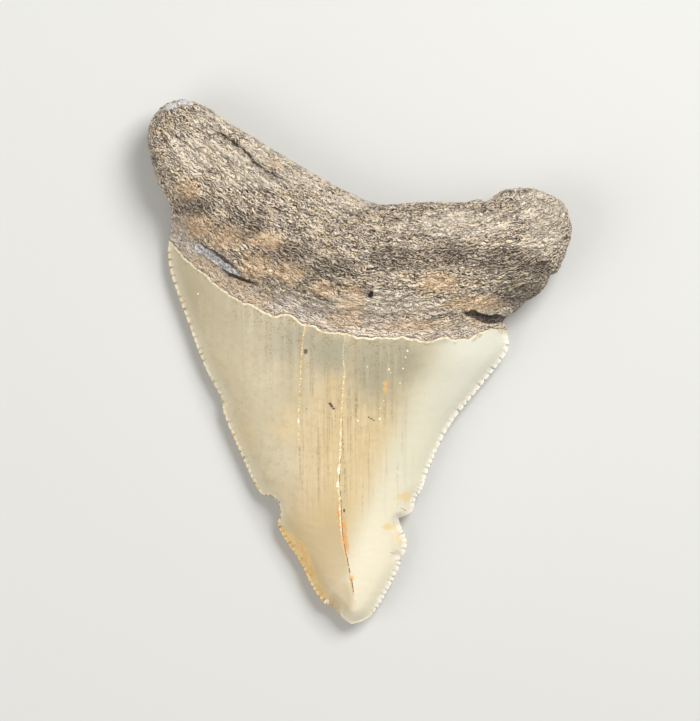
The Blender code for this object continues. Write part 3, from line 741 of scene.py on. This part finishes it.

# Cream on the left, warm tan down the middle, near white and clean on the right, partly a painted
# sheen where the right flank slopes towards the light, and darker at the neck.
# Places across and up the blade are in metres from the tooth's middle.
in_middle = ((across, -0.0105, -0.004), (across, 0.0074, 0.002))
above_tip = (upward, -0.020, -0.013)
not_right = (to_lower_right, 0.0085, 0.003)
colour = coated(tree, linear("#cdbf9c"), (
    ("#d6c9a6", 1.0, (clouds, 0.35, 0.7)),
    ("#dcc394", 0.9, (upward, 0.002, -0.008), *in_middle),
    ("#cbb07c", 0.6, (across, 0.0, -0.0035), (upward, -0.012, -0.02)),
    # Painted sheen: near white on the right flank and lower right.
    ("#e7e2c9", 1.0, (to_lower_right, 0.005, 0.0105)),
    ("#f3e8cc", 0.8, (to_lower_right, 0.007, 0.0105), (upward, -0.012, -0.021)),
    # Grey and grey-green tints and khaki painted shade near the neck, a cooler white below it that is
    # partly a painted sheen, and a warm glow.
    ("#b7ab8e", 0.75, (on_blade["above_neck"], -7.5, -0.5), (to_lower_right, 0.014, 0.006)),
    ("#a19d88", 0.75, (ragged["grey_green"], 0.25, 1.3)),
    # Painted sheen: cooler white by the right shoulder.
    ("#e6e6d6", 0.8, (across, 0.007, 0.014), (upward, -0.014, -0.006)),
    ("#b5a782", 0.45, (on_blade["khaki_painted_shade"], 0.1, 0.9)),
    ("#dfbf85", 0.45, (on_blade["warm_glow"], 0.1, 0.9), (clouds, 0.3, 0.55)),
    # Brown growth lines down the blade, pale ones between them, and a fine brown speckle.
    ("#bda57c", 0.45, (fibres, 0.48, 0.64), (upward, 0.004, -0.008), above_tip, *in_middle),
    ("#9d8b6b", 0.4, (fibres, 0.5, 0.62), (specks, 0.42, 0.54), (on_blade["above_neck"], -9.0, -3.0),
     (across, -0.0165, -0.011), not_right),
    ("#dccfae", 0.3, (fibres, 0.5, 0.38), (clouds, 0.42, 0.56), (on_blade["above_neck"], -9.0, -3.0),
     not_right),
    ("#927d5f", 0.75, (lines, 0.52, 0.64), (fibres, 0.42, 0.56), (crumbs, 0.42, 0.54), above_tip,
     (upward, 0.003, -0.002), *in_middle),
    ("#f0e2c0", 0.3, (lines, 0.5, 0.38), above_tip, (upward, -0.002, -0.007), *in_middle),
    ("#bba981", 0.25, (blotches, 0.5, 0.62), above_tip, not_right),
    ("#a89878", 0.16, (specks, 0.5, 0.62), (clouds, 0.44, 0.56), above_tip, not_right),
    ("#85704f", 0.6, (specks, 0.53, 0.62), (blotches, 0.44, 0.56), (on_blade["above_neck"], -6.0, -0.6),
     (across, -0.0185, -0.0105), not_right),
    ("#8f8166", 0.3, (crumbs, 0.62, 0.7), (blotches, 0.5, 0.62), not_right),
    # Yellow stains by the chips on the right.
    ("#efd08c", 0.8, (ragged["yellow_tint"], 0.9, 1.6)),
))

# Brown dirt under the neck, ochre along the lower left edge, iron spots and dark pits.
colour = coated(tree, colour, (
    ("#a5845e", 0.5, (on_blade["above_neck"], -0.75, -0.3), (blotches, 0.5, 0.62)),
    ("#efcb85", 0.9, (ragged["edge_stain"], 0.1, 0.7)),
    ("#e5b060", 0.6, (ragged["edge_stain"], 0.45, 0.7), (edge_streaks, 0.44, 0.62)),
    ("#f8e2ab", 0.35, (ragged["edge_stain"], 0.45, 0.7), (crumbs, 0.5, 0.64)),
    ("#ebba72", 0.85, (ragged["iron_spot"], 0.7, 1.3)),
    ("#4c3f30", 0.9, (ragged["dark_pit"], 0.55, 1.1)),
))

# The mineral in a crack lies in beads, about 0.8 mm apart, with gaps about a millimetre apart.
along_crack = {}
for name in ("middle_crack", "left_crack"):
    crack_place = add(tree, "ShaderNodeAttribute", attribute_name=name + "_place", out="Vector")
    beside = add(tree, "ShaderNodeSeparateXYZ", {0: crack_place}, out=0)
    along = add(tree, "ShaderNodeSeparateXYZ", {0: crack_place}, out=1)
    beads = add(tree, "ShaderNodeTexNoise", {"W": along, "Scale": 1.3, "Detail": 5.0, "Roughness": 0.85},
                noise_dimensions="1D")
    gaps = add(tree, "ShaderNodeTexNoise", {"W": along, "Scale": 0.9, "Detail": 4.0, "Roughness": 0.7},
               noise_dimensions="1D")
    fill = add(tree, "ShaderNodeMath", {0: beads, 1: 0.24, 2: beside}, operation="MULTIPLY_ADD")
    along_crack[name] = (beside, along, fill, beads, gaps)

# The left crack is a chain of orange and cream grains, with a brown line on its right side that is
# partly painted shadow. The middle one starts as a faint pale line, turns orange, then is filled with
# cream, partly a painted highlight on its left wall, beside an open brown slit on its right, stained
# with iron and partly painted shadow, and the enamel to its left has tan painted shade near the tip.
beside, along, fill, beads, gaps = along_crack["left_crack"]
colour = coated(tree, colour, (
    ("#e9bc6f", 0.85, (fill, -0.02, 0.05), (fill, 0.25, 0.17), (beads, 0.42, 0.5), (along, 16.0, 13.5)),
    ("#fdf2cf", 0.95, (fill, 0.02, 0.08), (fill, 0.22, 0.16), (beads, 0.5, 0.56), (specks, 0.36, 0.5),
     (along, 15.5, 13.0)),
    # A brown line along the right side of the left crack, partly painted shadow.
    ("#8d7350", 0.6, (beside, -0.05, 0.02), (beside, 0.16, 0.1), (gaps, 0.56, 0.62)),
))
beside, along, fill, beads, gaps = along_crack["middle_crack"]
near_slit = add(tree, "ShaderNodeMath", {0: specks, 1: 0.6, 2: beside}, operation="MULTIPLY_ADD")
colour = coated(tree, colour, (
    # Tan painted shade to the left of the crack near the tip.
    ("#c9b389", 0.75, (on_blade["tip_painted_shade"], 0.1, 0.7), (beside, 0.25, -0.05)),
    ("#d4c9b6", 0.8, (beside, -0.09, -0.04), (beside, 0.09, 0.04), (specks, 0.4, 0.5), (along, 6.5, 4.0)),
    # A brown slit on the right of the middle crack, partly painted shadow on its wall.
    ("#6f5a3e", 0.7, (beside, 0.04, 0.09), (beside, 0.21, 0.14), (gaps, 0.44, 0.54), (along, 8.0, 11.0)),
    ("#e9b766", 0.9, (fill, -0.02, 0.05), (fill, 0.25, 0.17), (beads, 0.4, 0.5), (along, 3.5, 6.0),
     (along, 27.5, 25.0)),
    # Cream filling, partly a painted highlight on the crack's left wall.
    ("#fdf0c6", 0.95, (fill, 0.0, 0.07), (fill, 0.23, 0.16), (beads, 0.48, 0.55), (specks, 0.34, 0.48),
     (along, 1.0, 5.0), (along, 27.0, 24.0)),
    ("#e6a256", 0.9, (near_slit, -0.12, -0.02), (near_slit, 0.26, 0.18), (along, 20.0, 21.4),
     (along, 25.0, 23.6), (crumbs, 0.4, 0.5)),
    ("#e6a256", 0.9, (near_slit, 0.32, 0.4), (near_slit, 1.05, 0.7), (along, 21.6, 23.0),
     (along, 27.0, 25.4), (crumbs, 0.34, 0.46)),
    ("#f6e3b4", 0.9, (beside, -0.13, -0.05), (beside, 0.09, 0.02), (along, 9.5, 11.5), (along, 31.0, 24.0),
     (gaps, 0.42, 0.5), (crumbs, 0.34, 0.44)),
    ("#fff5d6", 0.95, (fill, -0.07, 0.02), (fill, 0.27, 0.19), (beads, 0.47, 0.54), (crumbs, 0.4, 0.5),
     (along, 10.5, 13.0), (along, 26.0, 23.0)),
    ("#e3b982", 0.75, (beside, -0.13, -0.05), (beside, 0.09, 0.02), (along, 23.0, 25.0)),
    # The dark slit lower down, partly painted shadow on its right wall.
    ("#52402b", 0.85, (beside, 0.03, 0.08), (beside, 0.19, 0.12), (along, 14.0, 17.0), (gaps, 0.4, 0.5)),
))
# The small cracks by the chips are white on one side, with painted shadow along the other.
for name in ("upper_chip_crack", "lower_chip_crack"):
    crack_place = add(tree, "ShaderNodeAttribute", attribute_name=name + "_place", out="Vector")
    beside = add(tree, "ShaderNodeSeparateXYZ", {0: crack_place}, out=0)
    colour = coated(tree, colour, (
        ("#8a7148", 0.8, (on_blade[name], 0.0, 0.1), (beside, 0.02, -0.04)),
        ("#fffbee", 0.9, (on_blade[name], 0.0, 0.1), (beside, -0.02, 0.04)),
    ))

# White pads with dirt between them on the right edge, their white partly a painted highlight on the
# lit side, a thin cream rim on the left one, and the grey dentine of the broken edges. The foot of
# the enamel is a thin cream line, partly a painted highlight on its fresh edge.
edge = on_blade["edge_distance"]
right_side = (across, -0.0005, 0.001)
left_side = (across, -0.0005, -0.002)
clean_tip = (upward, -0.031, -0.0285)
colour = coated(tree, colour, (
    ("#ece3c8", 0.5, (edge, 1.8, 0.1), (ragged["edge_stain"], 0.4, 0.2)),
    # White pads on the right edge, partly a painted highlight on the lit side.
    ("#fbf7e8", 0.95, (ragged["edge_distance"], 1.3, 0.9), (on_blade["saw_size"], 0.1, 0.5), right_side,
     clean_tip),
    ("#f1e6c6", 0.85, (ragged["edge_distance"], 1.05, 0.75), (ragged["edge_stain"], 0.4, 0.2), left_side),
    ("#b09a72", 0.4, (on_blade["saw_notch"], 0.2, 0.6), (edge, 0.8, 0.5), right_side),
    ("#9d8357", 0.36, (on_blade["saw_notch"], 0.15, 0.5), (edge, 0.8, 0.4), left_side),
    ("#f3ecda", 0.7, (ragged["broken_edge"], 0.8, 1.0), right_side),
    ("#8b8070", 0.7, (ragged["broken_edge"], 1.3, 1.42), left_side),
    ("#fffaea", 0.95, (ragged["white_bead"], 0.9, 1.3)),
    # The cream foot of the enamel, partly a painted highlight on its fresh edge.
    ("#f6ebcb", 0.95, (ragged["above_neck"], -0.1, 0.0)),
    ("#c9a878", 0.7, (ragged["above_neck"], -0.08, 0.02), (crumbs, 0.5, 0.6)),
))
tree.links.new(colour, shader.inputs["Base Color"])
rough = add(tree, "ShaderNodeMapRange", {0: fibres, 1: 0.3, 2: 0.7, 3: 0.32, 4: 0.45})
tree.links.new(rough, shader.inputs["Roughness"])
# Apatite, the mineral of enamel, has an index of about 1.6.
shader.inputs["IOR"].default_value = 1.6
fine = add(tree, "ShaderNodeBump", {"Height": lines, "Strength": 0.5, "Distance": 0.03 * MM})
fine = add(tree, "ShaderNodeBump", {"Height": crumbs, "Strength": 0.4, "Distance": 0.02 * MM, "Normal": fine})
tree.links.new(fine, shader.inputs["Normal"])

# Root dentine. Matt, porous and grey-brown, weathered to a fine grain that runs along the bar, with
# ochre patches of clay, a smoother grey band at the neck and a white crust. Each ridge of the grain
# has a painted cream highlight on its upper side and painted shade on its lower one.

dentine = bpy.data.materials.new("root_dentine")
dentine.use_nodes = True
tree = dentine.node_tree
shader = tree.nodes["Principled BSDF"]
on_root = {name: add(tree, "ShaderNodeAttribute", attribute_name=name, out="Fac") for name in (
    "above_neck", "painted_light_patch", "painted_shade_band", "ochre_patch", "grey_patch", "white_crust", "flake_scar",
    "scar_line", "root_furrow", "root_crack", "neck_cleft", "foramen")}

# Places along the bar, across it and up, in millimetres. The lines of the grain waver by up to half
# a millimetre, over stretches of about one.
place = add(tree, "ShaderNodeAttribute", attribute_name="grain_place", out="Vector")
bend = add(tree, "ShaderNodeTexNoise", {"Vector": place, "Scale": 0.9, "Detail": 2.0}, out="Color")
bend = add(tree, "ShaderNodeVectorMath", {0: bend, 1: (0.5, 0.5, 0.5)}, operation="SUBTRACT")
bend = add(tree, "ShaderNodeVectorMath", {0: bend, "Scale": 0.9}, operation="SCALE")
place = add(tree, "ShaderNodeVectorMath", {0: place, 1: bend}, operation="ADD")
# A place a little towards the key light, for the painted light and shade of the grain.
upslope = add(tree, "ShaderNodeVectorMath", {0: place, 1: (0.05, 0.1, 0.0)}, operation="ADD")

# Each pattern has a length along the bar and a width across it, in millimetres. The real pores are
# a few hundredths wide, too fine to show, and are drawn at about 0.2.
textures = {}
for name, spot, length, width, detail in (
        ("streaks", place, 1.1, 0.24, 3.0), ("streaks_upslope", upslope, 1.1, 0.24, 3.0),
        ("grain", place, 0.34, 0.19, 2.0), ("grain_upslope", upslope, 0.34, 0.19, 2.0),
        ("furrows", place, 5.0, 0.7, 4.0), ("wrinkles", place, 4.0, 0.55, 3.0),
        ("clouds", place, 9.0, 4.0, 3.0), ("tints", place, 1.6, 0.8, 3.0)):
    cells = add(tree, "ShaderNodeMapping", {"Vector": spot, "Scale": (1 / length, 1 / width, 1 / width)})
    textures[name] = add(tree, "ShaderNodeTexNoise",
                         {"Vector": cells, "Scale": 1.0, "Detail": detail, "Roughness": 0.65})

# The grain's height, and its height less that a little upslope, towards the light, which is high on
# the upper sides: colour laid by it is painted highlight there and painted shade on the lower sides.
relief, relief_upslope = (
    add(tree, "ShaderNodeMath", {0: textures["grain" + end], 1: textures["streaks" + end]}, operation="ADD")
    for end in ("", "_upslope"))
painted_light_side = add(tree, "ShaderNodeMath", {0: relief, 1: relief_upslope}, operation="SUBTRACT")
ledges = add(tree, "ShaderNodeMapRange", {0: textures["wrinkles"], 1: 0.46, 2: 0.54},
             interpolation_type="SMOOTHSTEP")
ragged = {}
for name, reach in (("ochre_patch", 1.6), ("grey_patch", 0.8), ("white_crust", 1.8), ("painted_light_patch", 0.6),
                    ("painted_shade_band", 0.6)):
    ragged[name] = add(tree, "ShaderNodeMath", {0: textures["streaks"], 1: reach, 2: on_root[name]},
                       operation="MULTIPLY_ADD")
near_neck = (on_root["above_neck"], 2.9, 1.0)
colour = coated(tree, linear("#d2baa6"), (
    ("#e2caac", 0.9, (textures["clouds"], 0.35, 0.65)),
    ("#a68f85", 0.7, (textures["tints"], 0.52, 0.62)),
    ("#b39870", 0.5, (textures["tints"], 0.47, 0.37)),
    # Painted light on the upper margin and lobe tops.
    ("#fff0dc", 0.95, (ragged["painted_light_patch"], 0.3, 0.85)),
    # Painted shade across the lower middle of the root.
    ("#665141", 0.95, (ragged["painted_shade_band"], 0.5, 1.1)),
    ("#5f4a3a", 0.7, (textures["furrows"], 0.51, 0.64)),
    ("#f3e0c8", 0.6, (textures["furrows"], 0.48, 0.36)),
    ("#f9d2a4", 1.0, (ragged["ochre_patch"], 0.9, 1.35)),
    ("#fbecd8", 0.9, near_neck),
    # Painted shade on the grain's lower sides and painted highlights on its upper sides, then its pores,
    # and its crests, cream and partly a painted highlight.
    ("#4a382c", 0.78, (painted_light_side, -0.02, -0.13)),
    ("#fff3dc", 0.95, (painted_light_side, -0.005, 0.105)),
    ("#3d2b22", 0.6, (relief, 0.92, 0.78)),
    ("#f6e7cc", 0.4, (relief, 1.03, 1.15)),
    # Grey tints, yellow painted highlights on the upper sides, thin dark lines at the ledges that are
    # painted shadow under their steps, and the wide patches, with their painted light and shade, once more
    # over the grain.
    ("#a8968c", 0.35, (textures["tints"], 0.53, 0.6), (textures["clouds"], 0.45, 0.55)),
    ("#f5dba6", 0.55, (painted_light_side, -0.02, 0.08), (textures["tints"], 0.49, 0.39)),
    ("#2f1f14", 0.8, (textures["wrinkles"], 0.445, 0.475), (textures["wrinkles"], 0.525, 0.5),
     (textures["grain"], 0.62, 0.5), (on_root["above_neck"], 2.5, 4.5)),
    ("#4f3e32", 0.35, (textures["furrows"], 0.54, 0.66)),
    ("#4a3a2e", 0.4, (ragged["painted_shade_band"], 0.5, 1.1)),
    ("#f3cda2", 0.36, (ragged["ochre_patch"], 1.05, 1.55)),
    ("#f2e1c8", 0.3, (ragged["painted_light_patch"], 0.4, 1.0)),
    ("#f2e0cc", 0.4, near_neck),
    # The neck, where the grain is softer under ochre and grey clay, with painted shade on the grain's
    # lower sides and white painted glints in the grey clay.
    ("#e6c79c", 0.35, (ragged["ochre_patch"], 1.0, 1.4), (on_root["above_neck"], 3.4, 2.2)),
    ("#6b5547", 0.45, (painted_light_side, -0.02, -0.12), (on_root["above_neck"], 3.2, 1.6)),
    ("#b5a598", 0.45, (ragged["grey_patch"], 0.75, 1.0)),
    ("#f4f0ea", 0.85, (textures["grain"], 0.56, 0.64), (ragged["grey_patch"], 0.6, 1.0)),
))

# The flake scar is pale with white glints, which are painted highlights, painted shadow along its
# upper side and a narrower dark edge on its lower side. The cracks, cleft and foramen are dark, the
# crust is white, and a painted shadow runs along the foot of the root.
scar_place = add(tree, "ShaderNodeAttribute", attribute_name="flake_scar_place", out="Vector")
beside = add(tree, "ShaderNodeSeparateXYZ", {0: scar_place}, out=0)
cleft_place = add(tree, "ShaderNodeAttribute", attribute_name="neck_cleft_place", out="Vector")
under_cleft = add(tree, "ShaderNodeSeparateXYZ", {0: cleft_place}, out=0)
colour = coated(tree, colour, (
    ("#dad4d0", 0.9, (on_root["flake_scar"], 0.05, 0.3)),
    ("#746a62", 0.7, (on_root["flake_scar"], 0.05, 0.3), (textures["grain"], 0.45, 0.37)),
    # White glints in the scar, painted highlights.
    ("#ffffff", 0.95, (on_root["flake_scar"], 0.1, 0.4), (textures["grain"], 0.48, 0.56)),
    # Painted shadow on the scar's upper side.
    ("#3b312a", 0.9, (on_root["flake_scar"], 0.03, 0.15), (beside, 0.24, 0.36)),
    ("#4a3d33", 0.6, (on_root["flake_scar"], 0.03, 0.15), (beside, -0.44, -0.54)),
    ("#332a24", 0.9, (on_root["scar_line"], 0.15, 0.6)),
    ("#5d4e41", 0.3, (on_root["root_furrow"], 0.2, 0.8)),
    ("#32291f", 0.9, (on_root["root_crack"], 0.3, 0.7), (textures["streaks"], 0.36, 0.46)),
    ("#594a40", 0.9, (on_root["neck_cleft"], 0.1, 0.4)),
    ("#2f2620", 0.9, (on_root["neck_cleft"], 0.1, 0.4), (textures["grain"], 0.55, 0.42)),
    ("#2f2620", 0.9, (on_root["neck_cleft"], 0.02, 0.1), (under_cleft, 0.1, 0.4)),
    ("#2b221d", 0.95, (on_root["foramen"], 0.15, 0.5)),
    ("#f4f3f1", 0.95, (ragged["white_crust"], 1.15, 1.4)),
    # Painted shadow in the trough along the foot of the root.
    ("#5f4c3b", 0.45, (on_root["above_neck"], 0.3, 0.05)),
))
tree.links.new(colour, shader.inputs["Base Color"])
rough = add(tree, "ShaderNodeMapRange", {0: relief, 1: 0.85, 2: 1.15, 3: 0.7, 4: 0.34})
tree.links.new(rough, shader.inputs["Roughness"])
pores = add(tree, "ShaderNodeBump", {"Height": relief, "Strength": 1.0, "Distance": 0.3 * MM})
pores = add(tree, "ShaderNodeBump",
            {"Height": ledges, "Strength": 0.8, "Distance": 0.3 * MM, "Normal": pores})
tree.links.new(pores, shader.inputs["Normal"])

# The grain's tree ends by giving the blade its enamel and the root its dentine. Both trees are then
# run once, and their result is the finished mesh.
painted = add(grain_tree, "GeometryNodeSetMaterial", {"Geometry": solid, "Material": enamel})
on_root_side = add(grain_tree, "FunctionNodeCompare", {0: above_value, 1: 0.0}, operation="GREATER_THAN")
painted = add(grain_tree, "GeometryNodeSetMaterial",
              {"Geometry": painted, "Selection": on_root_side, "Material": dentine})
add(grain_tree, "NodeGroupOutput", {"Geometry": painted})

for surface, sizes in ((saw_tree, saw_sizes), (grain_tree, GRAIN)):
    modifier = tooth.modifiers.new(surface.name, "NODES")
    modifier.node_group = surface
    for socket in surface.interface.items_tree:
        if socket.in_out == "INPUT" and socket.name in sizes:
            modifier[socket.identifier] = sizes[socket.name]
finished = bpy.data.meshes.new_from_object(tooth.evaluated_get(bpy.context.evaluated_depsgraph_get()))
tooth.modifiers.clear()
tooth.data = finished
bpy.data.meshes.remove(body_mesh)
finished.name = "fossil_tooth"

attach(tooth, "root")
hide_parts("tooth")

# Floor, light and camera. A plain pale table, one large soft light high on the upper right, a
# weaker one on the left, and a long lens straight above.

SENSOR = 36.0
FRAME_HEIGHT = 86.52
FRAME_CENTRE = (-1.14, 0.18)
CAMERA_DISTANCE = 700.0
TOOTH_MIDDLE = 4.0

floor_mesh = bpy.data.meshes.new("table_top")
floor_mesh.from_pydata([(-1, -1, 0), (1, -1, 0), (1, 1, 0), (-1, 1, 0)], [], [(0, 1, 2, 3)])
table_top = bpy.data.objects.new("table_top", floor_mesh)
bpy.context.scene.collection.objects.link(table_top)
pale_paint = bpy.data.materials.new("pale_paint")
pale_paint.use_nodes = True
pale_paint.node_tree.nodes["Principled BSDF"].inputs["Base Color"].default_value = linear("#d7d7d4")
pale_paint.node_tree.nodes["Principled BSDF"].inputs["Roughness"].default_value = 0.8
floor_mesh.materials.append(pale_paint)

for name, place, size, power in (("key_softbox", (0.18, 0.2, 0.36), 0.22, 1.8),
                                 ("left_fill", (-0.36, -0.12, 0.34), 0.4, 1.0)):
    lamp = bpy.data.lights.new(name, "AREA")
    lamp.size = size
    lamp.energy = power
    light = bpy.data.objects.new(name, lamp)
    light.location = place
    light.rotation_euler = (-Vector(place)).to_track_quat("-Z", "Y").to_euler()
    bpy.context.scene.collection.objects.link(light)
world = bpy.data.worlds.new("studio")
world.use_nodes = True
world.node_tree.nodes["Background"].inputs["Color"].default_value = (1.0, 0.975, 0.94, 1.0)
world.node_tree.nodes["Background"].inputs["Strength"].default_value = 0.34
bpy.context.scene.world = world
bpy.context.scene.view_settings.view_transform = "Standard"

lens = bpy.data.cameras.new("camera")
lens.sensor_width = SENSOR
lens.lens = SENSOR * CAMERA_DISTANCE / FRAME_HEIGHT
camera = bpy.data.objects.new("camera", lens)
camera.location = [v * MM for v in (*FRAME_CENTRE, CAMERA_DISTANCE + TOOTH_MIDDLE)]
bpy.context.scene.collection.objects.link(camera)
bpy.context.scene.camera = camera
